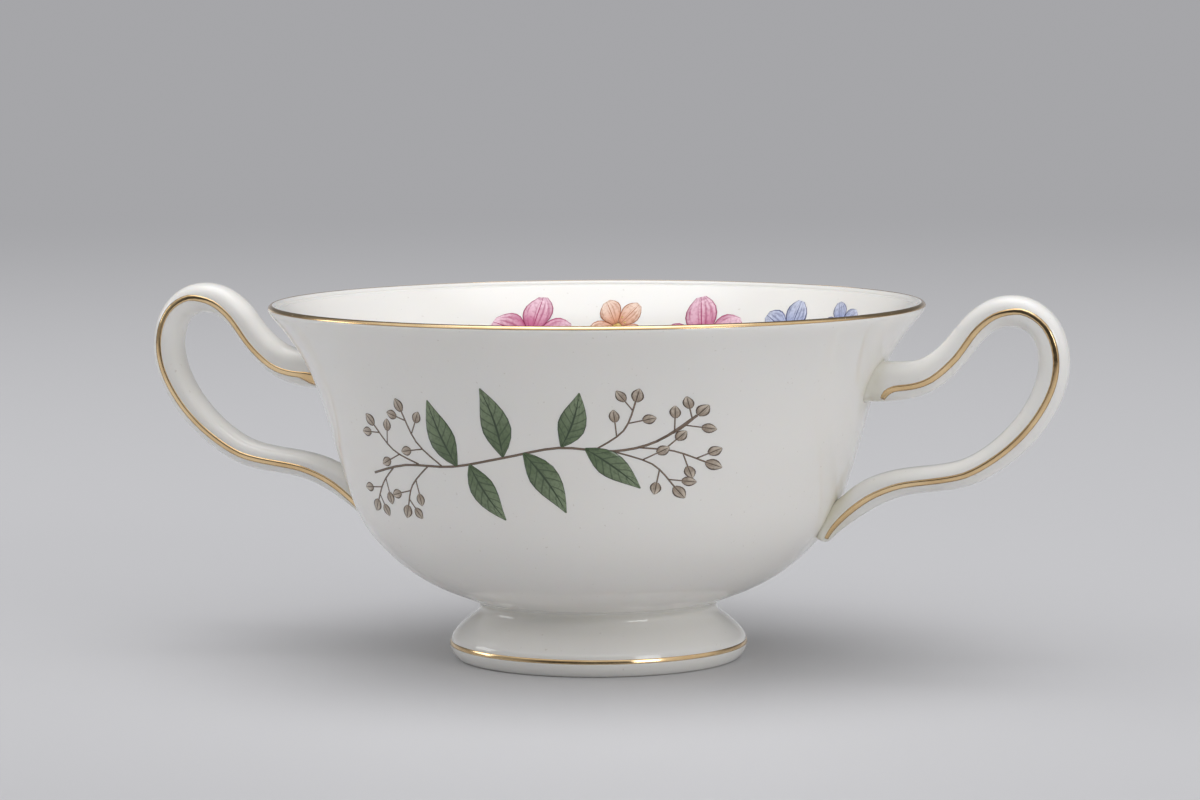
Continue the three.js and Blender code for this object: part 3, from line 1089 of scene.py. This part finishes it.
def addFloor():
    floor = startPlane("floor", stage["floorSize"])
    bpy.ops.mesh.select_all(action="SELECT")
    bpy.ops.transform.translate(value=(0, stage["floorSize"] / 2 + stage["nearEdge"], 0))
    stopEditing()
    material = bpy.data.materials.new("paleSheet")
    material.use_nodes = True
    tree = material.node_tree
    shader = tree.nodes["Principled BSDF"]
    shader.inputs["Base Color"].default_value = stage["floorColour"]
    shader.inputs["Roughness"].default_value = stage["floorRoughness"]
    place = coordinatesOf(tree)["Object"]
    ahead = splitAxes(tree, place)[1]
    ahead = calculate(tree, "MULTIPLY", ahead, -stage["nearFade"])
    distance = vectorMath(tree, "LENGTH", place)["Value"]
    distance = calculate(tree, "MAXIMUM", distance, ahead)
    far = soften(tree, distance, stage["fadeFrom"], stage["fadeTo"])
    fade = calculate(tree, "MULTIPLY", far, seenDirectly(tree))
    glow = addNode(tree, "ShaderNodeEmission", {"Color": stage["backdropColour"], "Strength": 1})
    mixed = mixShaders(tree, fade, shader, glow)
    tree.links.new(mixed, tree.nodes["Material Output"].inputs["Surface"])
    floor.data.materials.append(material)


# Studio light: a soft bright ceiling, a box at the left, a box to the right of the camera, and
# a room that is dark behind the camera, with a paler wall on the right than on the left
lamps = {
    "leftSideBox": {"place": (-1.20, -0.09, 0.42), "size": (0.46, 0.40), "power": 1.7},
    "rightFrontBox": {"place": (0.98, -0.66, 0.44), "size": (0.42, 0.30), "power": 2.0},
}
lampAim = (0, 0, 0.04)
room = {
    "darkTurn": 10,          # degrees round the cup, from the camera towards its left
    "dark": 0.05,
    "left": 0.27,
    "right": 0.62,
    "rear": 0.13,            # above the backdrop
    "frontHigh": 1.0,
    "high": 0.76,
    "ceiling": 2.75,
    "tint": (1.0, 1.0, 1.02, 1),
}


# Each tone takes over from the last as a direction turns sideways, backwards or upwards
def addRoom():
    world = bpy.data.worlds.new("studio")
    bpy.context.scene.world = world
    world.use_nodes = True
    tree = world.node_tree
    light = tree.nodes["Background"]
    turned = addNode(tree, "ShaderNodeVectorRotate", {
        "Vector": coordinatesOf(tree)["Generated"],
        "Angle": math.radians(room["darkTurn"] - cameraSettings["yaw"]),
    }, rotation_type="Z_AXIS").outputs[0]
    direction = splitAxes(tree, turned)
    side = soften(tree, direction[0], -0.4, 0.4, room["left"], room["right"])
    sideways = soften(tree, direction[1], -0.86, -0.55)
    low = calculateMix(tree, sideways, room["dark"], side)
    high = soften(tree, direction[1], -0.5, 0, room["frontHigh"], room["high"])
    tone = calculateMix(tree, soften(tree, direction[2], 0.3, 0.7), low, high)
    backwards = soften(tree, direction[1], 0.2, 0.7)
    tone = calculateMix(tree, backwards, tone, room["rear"])
    upwards = soften(tree, direction[2], 0.83, 0.98)
    tone = calculateMix(tree, upwards, tone, room["ceiling"])
    light.inputs["Color"].default_value = room["tint"]
    tree.links.new(tone, light.inputs["Strength"])
    rearward = soften(tree, direction[1], -0.1, 0.3)
    level = soften(tree, direction[2], 0.06, 0.2, 1, 0)
    behindCup = calculate(tree, "MULTIPLY", rearward, level)
    paths = addNode(tree, "ShaderNodeLightPath").outputs
    mirrored = calculate(tree, "MAXIMUM", paths["Is Glossy Ray"], paths["Is Transmission Ray"])
    mirrored = calculate(tree, "MULTIPLY", mirrored, behindCup)
    direct = calculate(tree, "MAXIMUM", paths["Is Camera Ray"], mirrored)
    backdrop = {"Color": stage["backdropColour"], "Strength": 1}
    shown = addNode(tree, "ShaderNodeBackground", backdrop)
    mixed = mixShaders(tree, direct, light, shown)
    tree.links.new(mixed, tree.nodes["World Output"].inputs["Surface"])


def addLamp(name, place, size, power):
    lampData = bpy.data.lights.new(name, "AREA")
    lampData.shape = "RECTANGLE"
    lampData.size, lampData.size_y = size
    lampData.energy = power
    lamp = bpy.data.objects.new(name, lampData)
    bpy.context.scene.collection.objects.link(lamp)
    lamp.location = place
    lamp.rotation_euler = (Vector(lampAim) - Vector(place)).to_track_quat("-Z", "Y").to_euler()


# Everything is made, dressed and placed here
def dress(piece, finish, slot, *nodes):
    piece.data.materials.clear()
    piece.data.materials.append(finish)
    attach(piece, "root")
    if nodes:
        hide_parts(*nodes)


bpy.context.scene.view_settings.view_transform = "Standard"
addCamera()
addFloor()
addRoom()
for lampName, lamp in lamps.items():
    addLamp(lampName, lamp["place"], lamp["size"], lamp["power"])
print("stage: camera, floor and light placed")

bowlShell = buildBowl()
spreadingFoot = buildFoot()
faceCounts = [len(piece.data.polygons) for piece in (bowlShell, spreadingFoot)]
print("stage: bowl and foot modelled with", *faceCounts, "faces")
rimGold = buildRimBand()
footGold = buildFootBand()
rightHandle = buildHandle()
swellAtWall(rightHandle, bowlShell, handle["swellReach"], handle["swell"])
leftHandle = copyTurned(rightHandle, "leftHandle")
rightFrontGold, rightBackGold = buildHandleLines(rightHandle)
leftBackGold = copyTurned(rightFrontGold, "leftHandleBackGold")
leftFrontGold = copyTurned(rightBackGold, "leftHandleFrontGold")
print("stage: handles and gilding modelled,", len(rightHandle.data.polygons), "faces a handle")

glazeFilm = makeGlazeFilm()
wornGold = makeWornGold()
enamelPrint = makeEnamelPrint()
# spots at the handles' joints that paint the crease shade along with gathered glaze
jointPoolsAndShade = [poolsAndShade["upper"], poolsAndShade["lower"]]
bowlGlaze = porcelainFinish("bowlGlaze", jointPoolsAndShade, poolsAndShade["onBowl"], True)
footGlaze = porcelainFinish("footGlaze", [poolsAndShade["neck"]], poolsAndShade["onFoot"], True)
handleGlaze = porcelainFinish("handleGlaze", jointPoolsAndShade, poolsAndShade["onHandle"])
bandGold = goldFinish("bandGold", gold["bandRounding"])
lineGold = goldFinish("lineGold", gold["lineRounding"])
dress(bowlShell, bowlGlaze, "porcelain", "bowl")
dress(spreadingFoot, footGlaze, "porcelain", "foot")
dressBareRing(spreadingFoot)
dress(rightHandle, handleGlaze, "porcelain", "right_handle")
dress(leftHandle, handleGlaze, "porcelain", "left_handle")
dress(rimGold, bandGold, "gilding", "rim_gilding")
dress(footGold, bandGold, "gilding", "foot_gilding")
dress(rightFrontGold, lineGold, "gilding", "right_handle_front_line")
dress(rightBackGold, lineGold, "gilding", "right_handle_back_line")
dress(leftFrontGold, lineGold, "gilding", "left_handle_front_line")
dress(leftBackGold, lineGold, "gilding", "left_handle_back_line")
print("stage: porcelain and gold finished")


def layPrint(piece, name, finish, spray, part):
    lift = spray["lifts"][part]
    layOn(piece, bowlShell, spray["start"], lift, lift + printSeat)
    dress(nameAs(piece, name), finish, "print")
    dress(copyTurned(piece, name.replace("front", "back").replace("far", "near")), finish, "print")


twigs, buds = buildTwigs(outsideSpray)
layPrint(twigs, "frontTwigs", enamelFinish("twig"), outsideSpray, "twigs")
layPrint(buds, "frontBuds", enamelFinish("bud"), outsideSpray, "buds")
leaves = buildLeaves(outsideSpray, outsideSpray["leafForm"])
layPrint(leaves, "frontLeaves", enamelFinish("leafGreen"), outsideSpray, "leaves")
print("stage: outside sprays printed")

greyGreen = enamelFinish("greyGreen")
centreFinish = enamelFinish("centre")
insideStem = drawBlade("insideStem", pathWithWidth(insideSpray["stem"], insideSpray["stemWidth"]), 2)
layPrint(insideStem, "farStem", greyGreen, insideSpray, "stem")
insideLeaves = buildLeaves(insideSpray, outsideSpray["leafForm"])
layPrint(insideLeaves, "farLeaves", greyGreen, insideSpray, "leaves")
for finishName in ("pink", "peach", "blue"):
    petals, centres = buildBlossoms(insideSpray, finishName)
    prefix = "far" + finishName.title()
    layPrint(petals, prefix + "Petals", enamelFinish(finishName), insideSpray, "petals")
    layPrint(centres, prefix + "Centres", centreFinish, insideSpray, "centres")
print("stage: inside sprays printed")
